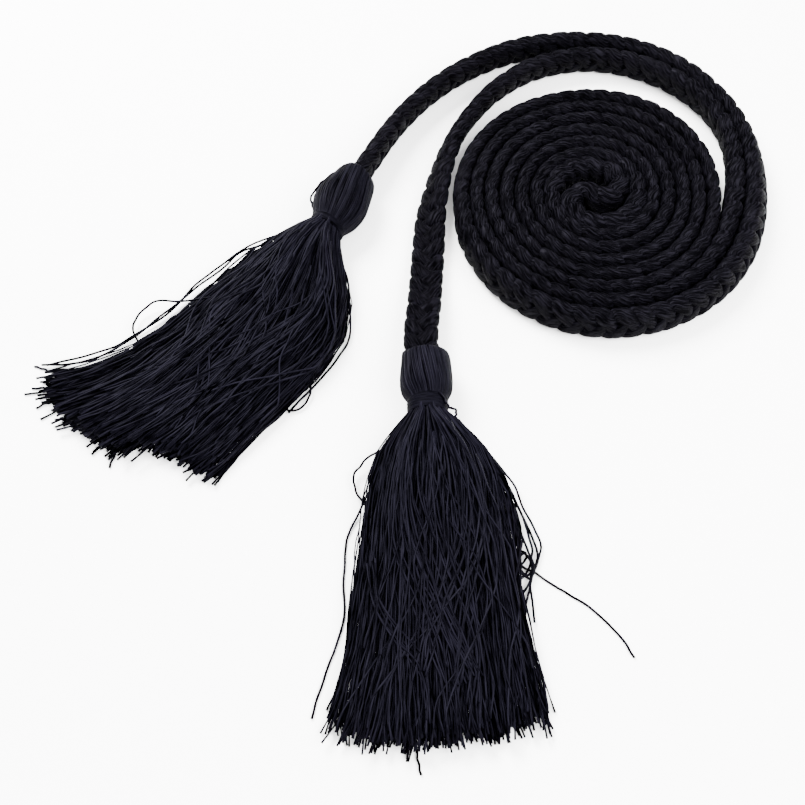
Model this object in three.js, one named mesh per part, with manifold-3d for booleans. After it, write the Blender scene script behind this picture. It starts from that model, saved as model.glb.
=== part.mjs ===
// Rope belt: a long flat-plaited cord folded at its middle and wound from there into a flat spiral
// with two arms, whose free ends run out to a tassel each.
// Millimetres, +Z up. The belt lies on the plane z = 0 and the spiral's middle is at the origin.
import * as THREE from 'three';
import { mergeVertices } from 'three/addons/utils/BufferGeometryUtils.js';
import Module from 'manifold-3d';

const wasm = await Module();
wasm.setup();

// Rope
const ROPE_WIDTH = 9.6;
const ROPE_THICKNESS = 4.2;
const SECTION_SIDES = 8;
const SECTION_POWER = 3;        // 2 is an ellipse, more is squarer
const CLEARANCE = 0.3;          // between neighbours that touch on the real belt
const STATIONS_PER_ROW = 2;     // along the routes of the free ends

// Coil: the rope stands on edge, and each arm is one pitch outside the other
const PITCH = ROPE_THICKNESS + CLEARANCE;
const CORE_RADIUS = 9.54;       // where the arms end and the S at the middle begins
const CORE_ANGLE = 45;          // degrees, for the arm that runs to the left tassel
const LEFT_ARM_END = 1260;      // degrees, where each arm leaves the coil
const FRONT_ARM_END = 1350;
const DEGREES_PER_STEP = 15;
const LOBE_STEPS = 8;

// Tassels
const HEAD_DIAMETER = 13.8;
const HEAD_LENGTH = 13.2;       // from the rope's entry to the neck binding
const MOUTH_DIAMETER = 11.6;    // across the folded threads round the rope
const NECK_DIAMETER = 9.2;
const ROPE_SEAT = 4;            // how far the rope's end reaches into the head
const LEFT_SEAT_ASIDE = 0;      // how far the rope enters beside the head's axis
const FRONT_SEAT_ASIDE = -1.3;
const BINDING_LENGTH = 4.6;
const BINDING_TURNS = 6;
const BINDING_THREAD = 0.7;
const BINDING_VALLEY = 0.6;     // depth of the collar between two turns, as a share of the thread
const SKIRT_START = HEAD_LENGTH + BINDING_LENGTH + 2 * CLEARANCE;
const SKIRT_LENGTH = 84;
const SKIRT_WIDTH = 52;         // across the cut ends
const SKIRT_DEPTH = 12;         // thickest place, just below the neck
const LOCKS = 9;
const LOCK_SIDES = 6;
const LOCK_OVERLAP = 1.5;       // a lock's width in shares of its own room across the skirt
const LOCK_UNEVENNESS = 0.02;   // how far the locks' ends step in and out, as a share of the length
const LOCK_BEAT = 2.4;          // radians of that unevenness from one lock to the next
const EDGE_DEPTH = 0.5;         // depth of a lock at the skirt's sides, as a share of the middle one's
const ROUND_SIDES = 14;

// Routes of the two free ends. Each row: degrees past the arm's end, distance outside the arm's
// own spiral, tilt of the wide face from the floor in degrees, and lift as a share of the way from
// lying on the floor to the height of the tassel head's axis.
const LEFT_ROUTE = [
  [0, 0, 90, 0], [20, 0.3, 93, 0], [45, 0.8, 98, 0], [70, 1.2, 103, 0], [90, 1.4, 105, 0],
  [108, 1.5, 106, 0], [124, 1.7, 108, 0], [140, 2.1, 110, 0], [156, 2.6, 114, 0], [171, 3.5, 117, 0],
  [185, 5.3, 117, 0], [197, 7.7, 114, 0], [208, 10.1, 110, 0], [220, 12.5, 106, 0], [236, 15.4, 103, 0],
  [252, 16.8, 101, 0], [269, 16.9, 100, 0], [287, 16.8, 100, 0], [302, 16.4, 100, 0], [316, 16.6, 98, 0],
  [330, 17.3, 96, 0.1], [341.3, 18.5, 94, 0.5], [348, 19.8, 92, 0.85], [354.1, 22.2, 92, 1],
];
const FRONT_ROUTE = [
  [0, 0, 90, 0], [14, 0, 90, 0], [30, 0, 91, 0], [48, 0.1, 93, 0], [64, 0.3, 97, 0],
  [81, 1.3, 102, 0], [96, 3.5, 104, 0], [109, 6.6, 103, 0], [121, 10.0, 102, 0], [135, 12.9, 101, 0],
  [150, 14.5, 100, 0], [166, 15.1, 100, 0], [180, 14.5, 100, 0], [196, 12.0, 101, 0],
  [212, 8.5, 103, 0], [227, 5.4, 106, 0], [241, 3.7, 110, 0], [256, 2.75, 118, 0], [270, 3.6, 134, 0],
  [279, 5.2, 151, 0], [288, 7.5, 168, 0], [294.5, 10.2, 178, 0.1], [300, 13.4, 180, 0.3],
  [306.2, 18.3, 180, 0.6], [311.3, 24.1, 180, 0.88], [315.5, 29.1, 180, 1],
];
const LEFT_HEADING = 240;       // degrees from +X, the way the tassel points
const FRONT_HEADING = 271;

// Each skirt laid flat. Reach: how far the threads on its two sides go, as shares of its length.
// Sides, each row: distance from the neck as a share of the skirt's length, then the two sides'
// distances from the axis as shares of its width.
const LEFT_SKIRT = {
  reach: [1.07, 0.97],
  sides: [
    [0, -0.1, 0.1], [0.05, -0.16, 0.19], [0.12, -0.21, 0.27], [0.22, -0.29, 0.37],
    [0.36, -0.35, 0.43], [0.55, -0.42, 0.42], [0.78, -0.55, 0.4], [1, -0.7, 0.33],
  ],
};
const FRONT_SKIRT = {
  reach: [0.98, 0.97],
  sides: [
    [0, -0.1, 0.1], [0.05, -0.18, 0.21], [0.12, -0.25, 0.3], [0.22, -0.3, 0.35],
    [0.36, -0.34, 0.39], [0.55, -0.38, 0.42], [0.78, -0.41, 0.46], [1, -0.45, 0.52],
  ],
};
// Height of the skirt: distance from the neck, then height, as shares of its length and depth.
const SKIRT_HEIGHTS = [[0, 0.7], [0.05, 0.92], [0.12, 1], [0.22, 0.94], [0.36, 0.82], [0.55, 0.7],
  [0.78, 0.58], [1, 0.46]];
const SKIRT_LANDING = 0.14;     // where its underside reaches the floor, as a share of its length
const NECK_REACH = 0.03;        // how far the neck runs on inside the skirt, as a share of its length

const UP = new THREE.Vector3(0, 0, 1);
const radians = THREE.MathUtils.degToRad;
const lerp = THREE.MathUtils.lerp;

// The rope's section on its long axis x and short axis y, with a flat at each of the four ends.
function ropeSection(margin = 0) {
  const corner = Math.PI / SECTION_SIDES;
  const flat = Math.cos(corner) ** (2 / SECTION_POWER);
  const reach = (value, half) => Math.sign(value) * half * Math.abs(value) ** (2 / SECTION_POWER) / flat;
  const points = [];
  for (let i = 0; i < SECTION_SIDES; i++) {
    const angle = corner * (2 * i + 1);
    points.push(new THREE.Vector2(
      reach(Math.cos(angle), ROPE_WIDTH / 2 + margin), reach(Math.sin(angle), ROPE_THICKNESS / 2 + margin)));
  }
  return new THREE.Shape(points);
}

// Half the height of the rope when its wide face is tilted from the floor.
function halfHeight(tilt) {
  const section = ropeSection().getPoints();
  return Math.max(...section.map((p) => p.x * Math.sin(radians(tilt)) + p.y * Math.cos(radians(tilt))));
}

// A station of a swept piece: its middle, its tangent, and the direction of the section's long axis,
// which leans from the right-hand side of the way up by the tilt.
function station(middle, tangent, tilt) {
  const right = new THREE.Vector3().crossVectors(tangent, UP).normalize();
  const rise = new THREE.Vector3().crossVectors(right, tangent).normalize();
  const long = right.multiplyScalar(Math.cos(radians(tilt))).addScaledVector(rise, Math.sin(radians(tilt)));
  const short = new THREE.Vector3().crossVectors(tangent, long).normalize();
  return { middle, long, short };
}

// Sweeps a section through stations: a straight extrusion with a step for each, bent into place.
function sweep(shapeAt, stations) {
  const steps = stations.length - 1;
  const geometry = new THREE.ExtrudeGeometry(shapeAt, { depth: steps, steps, bevelEnabled: false });
  const position = geometry.attributes.position;
  const vertex = new THREE.Vector3();
  for (let i = 0; i < position.count; i++) {
    vertex.fromBufferAttribute(position, i);
    const { middle, long, short, scale = [1, 1] } = stations[Math.round(vertex.z)];
    const placed = middle.clone().addScaledVector(long, vertex.x * scale[0]);
    placed.addScaledVector(short, vertex.y * scale[1]);
    position.setXYZ(i, placed.x, placed.y, placed.z);
  }
  geometry.computeVertexNormals();
  return geometry;
}

function polar(radius, degrees, z = 0) {
  return new THREE.Vector3(radius * Math.cos(radians(degrees)), radius * Math.sin(radians(degrees)), z);
}

function armRadius(degrees, start) {
  return CORE_RADIUS + PITCH * (degrees - start) / 180;
}

// Half of the coil, from the middle out: one lobe of the S, then one arm of the spiral.
function halfCoil(armEnd) {
  const z = ROPE_WIDTH / 2;
  const slope = PITCH / Math.PI;
  const tangentAt = (degrees) => polar(slope, degrees)
    .addScaledVector(polar(1, degrees + 90), armRadius(degrees, CORE_ANGLE)).normalize();
  const lobeEnd = polar(CORE_RADIUS, CORE_ANGLE);
  const inward = new THREE.Vector3().crossVectors(UP, tangentAt(CORE_ANGLE));
  const lobeRadius = -lobeEnd.lengthSq() / (2 * lobeEnd.dot(inward));
  const centre = lobeEnd.clone().addScaledVector(inward, lobeRadius);
  const first = THREE.MathUtils.radToDeg(Math.atan2(-centre.y, -centre.x));
  const last = THREE.MathUtils.radToDeg(Math.atan2(lobeEnd.y - centre.y, lobeEnd.x - centre.x));
  const turn = THREE.MathUtils.euclideanModulo(last - first, 360);
  const stations = [];
  for (let i = 0; i < LOBE_STEPS; i++) {
    const angle = first + turn * i / LOBE_STEPS;
    const middle = centre.clone().add(polar(lobeRadius, angle)).setZ(z);
    stations.push({ middle, tangent: polar(1, angle + 90) });
  }
  for (let angle = CORE_ANGLE; angle <= armEnd; angle += DEGREES_PER_STEP) {
    stations.push({ middle: polar(armRadius(angle, CORE_ANGLE), angle, z), tangent: tangentAt(angle) });
  }
  return stations;
}

function coilGeometry() {
  const half = 180;                           // the front tassel's arm starts half a turn later
  const left = halfCoil(LEFT_ARM_END).reverse()
    .map(({ middle, tangent }) => station(middle, tangent.clone().negate(), 90));
  const front = halfCoil(FRONT_ARM_END - half).slice(1).map(({ middle, tangent }) => station(
    new THREE.Vector3(-middle.x, -middle.y, middle.z), tangent.clone().negate(), 90));
  return sweep(ropeSection(), [...left, ...front]);
}

// A free end: from the coil along its route, and straight into the tassel's head.
function freeEnd(rows, start, armEnd, heading) {
  const axisHeight = HEAD_DIAMETER / 2;
  const flat = new THREE.CatmullRomCurve3(rows.map(([past, slack]) => {
    const radius = armRadius(armEnd + past, start) + slack;
    const gap = past === 0 ? THREE.MathUtils.radToDeg(CLEARANCE / radius) : 0;
    return polar(radius, armEnd + past + gap);
  }));
  const points = [];
  const tilts = [];
  const last = rows.length - 1;
  for (let i = 0; i <= last; i += 1 / STATIONS_PER_ROW) {
    const row = Math.min(Math.floor(i), last - 1);
    const [, , tilt, lift] = rows[row].map((value, column) => lerp(value, rows[row + 1][column], i - row));
    tilts.push(tilt);
    points.push(flat.getPoint(i / last).setZ(lerp(halfHeight(tilt), axisHeight, lift)));
  }
  const mouth = points[points.length - 1];
  const seatTilt = tilts[tilts.length - 1];
  points.push(mouth.clone().add(polar(ROPE_SEAT, heading)));
  tilts.push(seatTilt);
  return { points, tilts, mouth, seatTilt };
}

function tailGeometry({ points, tilts }) {
  const curve = new THREE.CatmullRomCurve3(points);
  const last = points.length - 1;
  return sweep(ropeSection(), points.map((point, i) => station(point, curve.getTangent(i / last), tilts[i])));
}

// Reads a table of rows at a share of the length, column by column.
function readRow(table, share) {
  let i = 1;
  while (i < table.length - 1 && table[i][0] < share) i++;
  const [low, high] = [table[i - 1], table[i]];
  const t = (share - low[0]) / (high[0] - low[0]);
  return low.map((value, column) => lerp(value, high[column], t));
}

function toSolid(geometry) {
  const bare = geometry.clone();
  for (const name of Object.keys(bare.attributes)) {
    if (name !== 'position') bare.deleteAttribute(name);
  }
  const merged = mergeVertices(bare, 1e-4);
  return new wasm.Manifold(new wasm.Mesh({
    numProp: 3, vertProperties: merged.attributes.position.array, triVerts: merged.index.array,
  }));
}

function toGeometry(solid) {
  const mesh = solid.getMesh();
  const geometry = new THREE.BufferGeometry();
  geometry.setAttribute('position', new THREE.BufferAttribute(mesh.vertProperties, 3));
  geometry.setIndex(new THREE.BufferAttribute(mesh.triVerts, 1));
  geometry.computeVertexNormals();
  return geometry;
}

// A closed turning about the tassel's axis, which is +X here, from rows of radius and distance.
function turned(profile) {
  const points = profile.map(([radius, along]) => new THREE.Vector2(radius, along));
  const geometry = new THREE.LatheGeometry(points, ROUND_SIDES).rotateZ(-Math.PI / 2);
  return geometry.translate(0, 0, HEAD_DIAMETER / 2);
}

// The head of folded threads with its neck, which runs on under the binding into the skirt.
function headGeometry() {
  const mouth = MOUTH_DIAMETER / 2;
  const full = HEAD_DIAMETER / 2;
  const neck = NECK_DIAMETER / 2;
  const neckEnd = SKIRT_START + SKIRT_LENGTH * NECK_REACH;
  return turned([
    [0, 0],
    [mouth, 0],
    [lerp(mouth, full, 0.5), 0.08 * HEAD_LENGTH],
    [lerp(mouth, full, 0.85), 0.26 * HEAD_LENGTH],
    [full, 0.6 * HEAD_LENGTH],
    [lerp(neck, full, 0.92), 0.8 * HEAD_LENGTH],
    [lerp(neck, full, 0.6), 0.94 * HEAD_LENGTH],
    [neck, HEAD_LENGTH],
    [neck, neckEnd],
    [0, neckEnd],
  ]);
}

// One lock of the skirt: a tapering strip that follows its share across between the two sides.
function lockGeometry({ reach, sides }, index) {
  const across = (index + 0.5) / LOCKS;
  const length = SKIRT_LENGTH * (lerp(...reach, across) + LOCK_UNEVENNESS * Math.sin(LOCK_BEAT * index));
  const corner = Math.PI / LOCK_SIDES;         // its section has a flat under and on top
  const shape = new THREE.Shape(Array.from({ length: LOCK_SIDES }, (_, i) => new THREE.Vector2(
    Math.cos(2 * corner * i) / 2, Math.sin(2 * corner * i) / (2 * Math.cos(corner)))));
  const stations = SKIRT_HEIGHTS.map(([share, depth]) => {
    const [, left, right] = readRow(sides, share);
    const height = SKIRT_DEPTH * depth * lerp(EDGE_DEPTH, 1, Math.sqrt(1 - (2 * across - 1) ** 2));
    const low = Math.max(0, lerp(HEAD_DIAMETER - SKIRT_DEPTH * depth, 0, share / SKIRT_LANDING)) / 2;
    const width = (right - left) * SKIRT_WIDTH / LOCKS * LOCK_OVERLAP;
    const aside = lerp(left, right, across) * SKIRT_WIDTH;
    return {
      middle: new THREE.Vector3(SKIRT_START + length * share, aside, low + height / 2),
      long: new THREE.Vector3(0, 1, 0),
      short: UP,
      scale: [width, height],
    };
  });
  return sweep(shape, stations);
}

// The pocket in the head that the rope's end fills, wider than the rope by the clearance.
function pocketGeometry({ tilt, aside }) {
  const along = new THREE.Vector3(1, 0, 0);
  const end = (x) => station(new THREE.Vector3(x, aside, HEAD_DIAMETER / 2), along, tilt);
  return sweep(ropeSection(CLEARANCE), [end(-CLEARANCE), end(ROPE_SEAT + CLEARANCE)]);
}

function tasselGeometry(skirt, seat) {
  let solid = toSolid(headGeometry());
  for (let i = 0; i < LOCKS; i++) solid = solid.add(toSolid(lockGeometry(skirt, i)));
  return toGeometry(solid.subtract(toSolid(pocketGeometry(seat))));
}

// The thread wound round the neck: turns side by side, pulled into one collar.
function bindingGeometry() {
  const inner = NECK_DIAMETER / 2 + CLEARANCE;
  const valley = inner + BINDING_VALLEY * BINDING_THREAD;
  const turn = BINDING_LENGTH / BINDING_TURNS;
  const profile = [[inner, 0]];
  for (let i = 0; i < BINDING_TURNS; i++) {
    profile.push([valley, i * turn], [inner + BINDING_THREAD, (i + 0.5) * turn]);
  }
  profile.push([valley, BINDING_LENGTH], [inner, BINDING_LENGTH], [inner, 0]);
  return turned(profile).translate(HEAD_LENGTH + CLEARANCE, 0, 0);
}

const ropeColour = new THREE.MeshStandardMaterial({ color: '#14141f', roughness: 0.8, metalness: 0 });
const tasselColour = new THREE.MeshStandardMaterial({ color: '#12121c', roughness: 0.7, metalness: 0 });

const group = new THREE.Group();

function add(name, geometry, material, parent = group) {
  const mesh = new THREE.Mesh(geometry, material.clone());
  mesh.name = name;
  parent.add(mesh);
}

function addEnd(name, end, heading, aside, skirt) {
  add(`rope_tail_${name}`, tailGeometry(end), ropeColour);
  const tassel = new THREE.Group();
  tassel.position.copy(end.mouth).setZ(0).sub(polar(aside, heading + 90));
  tassel.rotation.z = radians(heading);
  add(`tassel_${name}`, tasselGeometry(skirt, { tilt: end.seatTilt, aside }), tasselColour, tassel);
  add(`neck_binding_${name}`, bindingGeometry(), tasselColour, tassel);
  group.add(tassel);
}

add('rope_coil', coilGeometry(), ropeColour);
const leftEnd = freeEnd(LEFT_ROUTE, CORE_ANGLE, LEFT_ARM_END, LEFT_HEADING);
const frontEnd = freeEnd(FRONT_ROUTE, CORE_ANGLE + 180, FRONT_ARM_END, FRONT_HEADING);
addEnd('left', leftEnd, LEFT_HEADING, LEFT_SEAT_ASIDE, LEFT_SKIRT);
addEnd('front', frontEnd, FRONT_HEADING, FRONT_SEAT_ASIDE, FRONT_SKIRT);

export default group;
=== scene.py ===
# %% [markdown]
# # A rope belt with two tassels
# The belt is one long flat plait of dark thread, about as wide as a finger. It is folded at its
# middle, wound from the fold into a flat double spiral that stands on the rope's edge, and each
# free end runs out to a tassel. The frame gives every piece its place and size, so it is loaded
# before anything else.

# %% Load the frame
import math

import bpy
import numpy as np
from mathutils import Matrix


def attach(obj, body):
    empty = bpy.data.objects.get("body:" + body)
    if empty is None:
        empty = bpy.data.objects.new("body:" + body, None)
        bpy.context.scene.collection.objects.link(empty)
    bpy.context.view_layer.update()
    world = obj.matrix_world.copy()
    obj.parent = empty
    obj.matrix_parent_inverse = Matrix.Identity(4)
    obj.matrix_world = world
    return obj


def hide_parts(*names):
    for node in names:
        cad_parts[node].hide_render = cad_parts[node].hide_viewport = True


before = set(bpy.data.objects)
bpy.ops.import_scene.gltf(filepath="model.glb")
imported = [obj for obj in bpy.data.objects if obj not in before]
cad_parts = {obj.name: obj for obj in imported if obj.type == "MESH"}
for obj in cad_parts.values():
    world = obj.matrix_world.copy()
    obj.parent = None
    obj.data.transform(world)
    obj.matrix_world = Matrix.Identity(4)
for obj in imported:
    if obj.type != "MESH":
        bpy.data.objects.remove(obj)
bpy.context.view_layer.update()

MM = 0.001
rng = np.random.default_rng(11)

# %% [markdown]
# ## The camera
# The photograph looks down on the floor from the front. The spiral's even turns are a ruler: the
# lens, the height and the distance below are those that lay the spiral's turns on the photographed
# ones. A camera could be placed by eye, but a fitted one lets every later piece be compared with
# the photograph at the same place.

# %% Place the camera
LENS_MM = 45.0
CAMERA_ELEVATION = 63.33  # degrees above the floor
CAMERA_DISTANCE = 277.8  # mm, to the point of the floor in the middle of the picture
LOOK_AT = (-57.5, -66.1, 0.0)  # mm


def look_from(target, elevation, distance):
    """The camera's place and its turn about X, for a camera that looks along +Y."""
    up = math.radians(elevation)
    x, y, z = target
    place = (x, y - distance * math.cos(up), z + distance * math.sin(up))
    return [c * MM for c in place], (math.pi / 2 - up, 0, 0)


place, turn = look_from(LOOK_AT, CAMERA_ELEVATION, CAMERA_DISTANCE)
bpy.ops.object.camera_add(location=place, rotation=turn)
camera = bpy.context.object
camera.name = "camera"
camera.data.lens = LENS_MM
camera.data.sensor_width = 36
camera.data.clip_start = 0.01
bpy.context.scene.camera = camera
print("camera at, mm:", [round(c / MM, 1) for c in camera.location])

# %% [markdown]
# ## The way of the rope
# The rope is a free cord, so its way comes first. It has three stretches: the double spiral, which
# a loop works out from its pitch, and two free ends, whose points are listed. Each row of a
# free end says how many degrees it lies past the end of its arm, how far outside the arm's own
# spiral, how far its wide face is tilted from the floor, and how far it is lifted towards the
# middle of the tassel's head. A tilt of 90 stands on edge, and more leans in over the spiral.

# %% The sizes and rows of the route, as in the solid parts
# Lengths are in mm, and angles in degrees.
ROPE_WIDTH = 9.6
ROPE_THICKNESS = 4.2
OUTLINE_POWER = 3  # of the rope's section: 2 is an ellipse, more is squarer
OUTLINE_CORNERS = 8  # of the solid rope's section
CLEARANCE = 0.3
PITCH = ROPE_THICKNESS + CLEARANCE
CORE_RADIUS = 9.54  # where the arms end and the S in the middle begins
CORE_ANGLE = 45  # of the arm that runs to the left tassel
LEFT_ARM_END = 1260
FRONT_ARM_END = 1350
HEAD_DIAMETER = 13.8
ROPE_SEAT = 4  # how deep the rope goes into a head
LEFT_HEADING = 240
FRONT_HEADING = 271
LEFT_ROUTE = [
    [0, 0, 90, 0], [20, 0.3, 93, 0], [45, 0.8, 98, 0], [70, 1.2, 103, 0], [90, 1.4, 105, 0],
    [108, 1.5, 106, 0], [124, 1.7, 108, 0], [140, 2.1, 110, 0], [156, 2.6, 114, 0],
    [171, 3.5, 117, 0], [185, 5.3, 117, 0], [197, 7.7, 114, 0], [208, 10.1, 110, 0],
    [220, 12.5, 106, 0], [236, 15.4, 103, 0], [252, 16.8, 101, 0], [269, 16.9, 100, 0],
    [287, 16.8, 100, 0], [302, 16.4, 100, 0], [316, 16.6, 98, 0], [330, 17.3, 96, 0.1],
    [341.3, 18.5, 94, 0.5], [348, 19.8, 92, 0.85], [354.1, 22.2, 92, 1],
]
FRONT_ROUTE = [
    [0, 0, 90, 0], [14, 0, 90, 0], [30, 0, 91, 0], [48, 0.1, 93, 0], [64, 0.3, 97, 0],
    [81, 1.3, 102, 0], [96, 3.5, 104, 0], [109, 6.6, 103, 0], [121, 10.0, 102, 0],
    [135, 12.9, 101, 0], [150, 14.5, 100, 0], [166, 15.1, 100, 0], [180, 14.5, 100, 0],
    [196, 12.0, 101, 0], [212, 8.5, 103, 0], [227, 5.4, 106, 0], [241, 3.7, 110, 0],
    [256, 2.75, 118, 0], [270, 3.6, 134, 0], [279, 5.2, 151, 0], [288, 7.5, 168, 0],
    [294.5, 10.2, 178, 0.1], [300, 13.4, 180, 0.3], [306.2, 18.3, 180, 0.6],
    [311.3, 24.1, 180, 0.88], [315.5, 29.1, 180, 1],
]
SAMPLES_PER_ROW = 12


def polar(radius, degrees, z=0.0):
    angle = math.radians(degrees)
    return np.array([radius * math.cos(angle), radius * math.sin(angle), z])


def arm_radius(degrees, start):
    return CORE_RADIUS + PITCH * (degrees - start) / 180


def unit(vectors):
    return vectors / np.linalg.norm(vectors, axis=-1, keepdims=True)


def squarer(wave, power):
    """Sines or cosines, changed so that they draw an ellipse with this power instead of 2."""
    return np.sign(wave) * abs(wave) ** (2 / power)


# %% Half of the spiral: a lobe of the S in its middle, then an arm
LOBE_STEPS = 24
ARM_STEP = 3  # degrees


def half_coil(arm_end):
    """Points from the middle outwards."""
    end = polar(CORE_RADIUS, CORE_ANGLE)
    tangent = unit(polar(PITCH / math.pi, CORE_ANGLE) + polar(CORE_RADIUS, CORE_ANGLE + 90))
    inward = np.cross([0, 0, 1], tangent)
    lobe_radius = -end.dot(end) / (2 * end.dot(inward))
    centre = end + inward * lobe_radius
    first = math.degrees(math.atan2(-centre[1], -centre[0]))
    last = math.degrees(math.atan2(end[1] - centre[1], end[0] - centre[0]))
    turn = (last - first) % 360
    lobe = [centre + polar(lobe_radius, first + turn * i / LOBE_STEPS) for i in range(LOBE_STEPS)]
    arm = [polar(arm_radius(a, CORE_ANGLE), a) for a in np.arange(CORE_ANGLE, arm_end + 0.1, ARM_STEP)]
    return np.array(lobe + arm)


# %% A free end: a smooth curve through its rows, then straight on into the tassel's head
def smooth_between(points, t):
    """A point of the curve through the points, t from 0 at the first to 1 at the last."""
    last = len(points) - 1
    i = min(int(t * last), last - 1)
    share = t * last - i
    before = points[i - 1] if i > 0 else 2 * points[0] - points[1]
    after = points[i + 2] if i + 2 <= last else 2 * points[last] - points[last - 1]
    four = [before, points[i], points[i + 1], after]
    d0, d1, d2 = [math.sqrt(np.linalg.norm(four[k + 1] - four[k])) for k in range(3)]
    low = ((four[1] - four[0]) / d0 - (four[2] - four[0]) / (d0 + d1) + (four[2] - four[1]) / d1) * d1
    high = ((four[2] - four[1]) / d1 - (four[3] - four[1]) / (d1 + d2) + (four[3] - four[2]) / d2) * d1
    step = four[2] - four[1]
    return (four[1] + low * share + (3 * step - 2 * low - high) * share ** 2
            + (low + high - 2 * step) * share ** 3)


def half_height(tilt):
    """Half the rope's height when its wide face is tilted from the floor."""
    corners = 2 * math.pi * (np.arange(OUTLINE_CORNERS) + 0.5) / OUTLINE_CORNERS
    flat = squarer(math.cos(math.pi / OUTLINE_CORNERS), OUTLINE_POWER)
    x = ROPE_WIDTH / 2 * squarer(np.cos(corners), OUTLINE_POWER) / flat
    y = ROPE_THICKNESS / 2 * squarer(np.sin(corners), OUTLINE_POWER) / flat
    angle = math.radians(tilt)
    return max(x * math.sin(angle) + y * math.cos(angle))


def free_end(rows, start, arm_end, heading):
    """Points and tilts from the end of the arm outwards, and the point at the head's mouth."""
    rows = np.array(rows, float)
    plan = [polar(arm_radius(arm_end + past, start) + slack, arm_end + past)
            for past, slack in rows[:, :2]]
    shares = np.linspace(0, 1, (len(rows) - 1) * SAMPLES_PER_ROW + 1)
    points = np.array([smooth_between(plan, t) for t in shares])
    at_row = shares * (len(rows) - 1)
    tilts = np.interp(at_row, range(len(rows)), rows[:, 2])
    lift = np.interp(at_row, range(len(rows)), rows[:, 3])
    points[:, 2] = [(1 - l) * half_height(t) + l * HEAD_DIAMETER / 2 for l, t in zip(lift, tilts)]
    mouth = points[-1]
    seat = mouth + polar(ROPE_SEAT, heading)
    return np.vstack([points, seat]), np.append(tilts, tilts[-1]), mouth


left_points, left_tilts, left_mouth = free_end(LEFT_ROUTE, CORE_ANGLE, LEFT_ARM_END, LEFT_HEADING)
front_points, front_tilts, front_mouth = free_end(
    FRONT_ROUTE, CORE_ANGLE + 180, FRONT_ARM_END, FRONT_HEADING)
print("mouths, mm:", left_mouth.round(1), front_mouth.round(1))

# %% Join the stretches into one way, from the left tassel to the front one
# A tilt is measured from the right-hand side of the way out, so it is turned round on the way in.
STATION_STEP = 0.85  # mm

LOOSE_SIDE = 52  # degrees: on this side the turns lie looser, more so further out
LOOSE_SPAN = 66  # degrees to each side of it
LOOSENESS = 2.2  # mm, at the outermost turn
LOOSE_FROM = 36  # mm from the middle at which that turn lies


def on_side(points, side, span):
    """1 where points lie at this angle round the spiral, falling softly to 0 at the span's ends."""
    turned = np.degrees(np.arctan2(points[:, 1], points[:, 0])) - side
    return np.cos(np.clip(abs((turned + 180) % 360 - 180) / span, 0, 1) * math.pi / 2) ** 2


def loosen(points):
    """Moves points outwards on the spiral's loose side."""
    radius = np.linalg.norm(points[:, :2], axis=1)
    outward = LOOSENESS * on_side(points, LOOSE_SIDE, LOOSE_SPAN) * np.clip(radius / LOOSE_FROM, 0, 1) ** 2
    moved = points.copy()
    moved[:, :2] *= (1 + outward / np.maximum(radius, 1))[:, None]
    return moved


coil = np.vstack([half_coil(LEFT_ARM_END)[::-1], -half_coil(FRONT_ARM_END - 180)[1:]])
coil = loosen(coil)
coil[:, 2] = ROPE_WIDTH / 2
way = np.vstack([left_points[:0:-1], coil, front_points[1:]])
way_tilts = np.concatenate([180 - left_tilts[:0:-1], np.full(len(coil), 90.0), front_tilts[1:]])
run = np.concatenate([[0], np.cumsum(np.linalg.norm(np.diff(way, axis=0), axis=1))])
rope_length = run[-1]
along = np.linspace(0, rope_length, int(rope_length / STATION_STEP) + 1)
middle = np.stack([np.interp(along, run, way[:, k]) for k in range(3)], axis=1)
tilt = np.interp(along, run, way_tilts)
print("rope, mm:", round(rope_length, 1), "in", len(along), "stations")

# %% [markdown]
# ## The plait
# The rope is a flat plait of three strands, and each strand is a bundle of fine parallel threads.
# An array of one crossing would repeat too evenly and would not follow the roll of the rope, so
# each strand is laid out station by station: across the rope it swings from edge to edge, and
# through the rope it passes from face to face twice as often. The strands are soft and pulled
# tight, so each is laid out too fat and then pressed into the rope's outline, which leaves broad
# lobes with shallow grooves between them. The threads' own relief is left to the material.

# %% The sizes of the plait
PLAIT_PERIOD = 17.2  # mm of rope in which a strand comes back to the same edge
FLAT_PERIOD = 15.9  # the same where the rope lies flat, before the front tassel
FLAT_STRETCH = 70  # mm
UNEVEN_PERIOD = 0.07  # share by which the period varies along the rope
PERIOD_STEP = 60  # mm over which it changes
SWING = 3.1  # mm, a strand's middle from the rope's middle, at the edge
DIVE = 1.05  # mm, the same through the rope's thickness
EDGE_EASE = 0.15  # how much slower a strand turns over the edge than it dives
STRAND_HALF_WIDTH = (3.2, 3.0)  # mm, on the face and at the edge, before it is pressed
STRAND_HALF_THICKNESS = (2.02, 2.45)
STRAND_POWER = 2.3  # 2 is an ellipse, more is squarer
STRAND_SIDES = 32
OUTLINE_POINTS = 721  # at which a strand's outline is measured
THREAD_WANDER = 0.12  # mm, how far bunches of threads rise and sink along the strand
WANDER_STEP = 6  # mm
PRESS_FROM = 0.6  # share of the way to the rope's outline from which it is pressed
PRESS_ROOM = 0.46  # how far past that share it can reach at most
SOFT_WIDTH = 1.1  # the pressed rope against the solid one, before the lobes' hollows
COIL_REACH = 42  # mm from the middle, past which the rope belongs to the free ends
TAIL_SWELL = 0.18  # how much thicker the free ends are than the tightly wound coil
SIDE_SWELL = 0.22  # how much more on the side where they lie against each other
SWELL_SIDE = -18  # degrees: that side's middle
SWELL_SPAN = 62  # degrees to each side of it
SWELL_EASE = 4  # mm, from the coil's thickness to the free ends'
PHASE_WOBBLE = 0.2  # how unevenly the strands come round, in radians
WOBBLE_STEP = 11  # mm
FLOOR_GAP = 0.02  # mm that always stay between a strand and the floor
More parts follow.
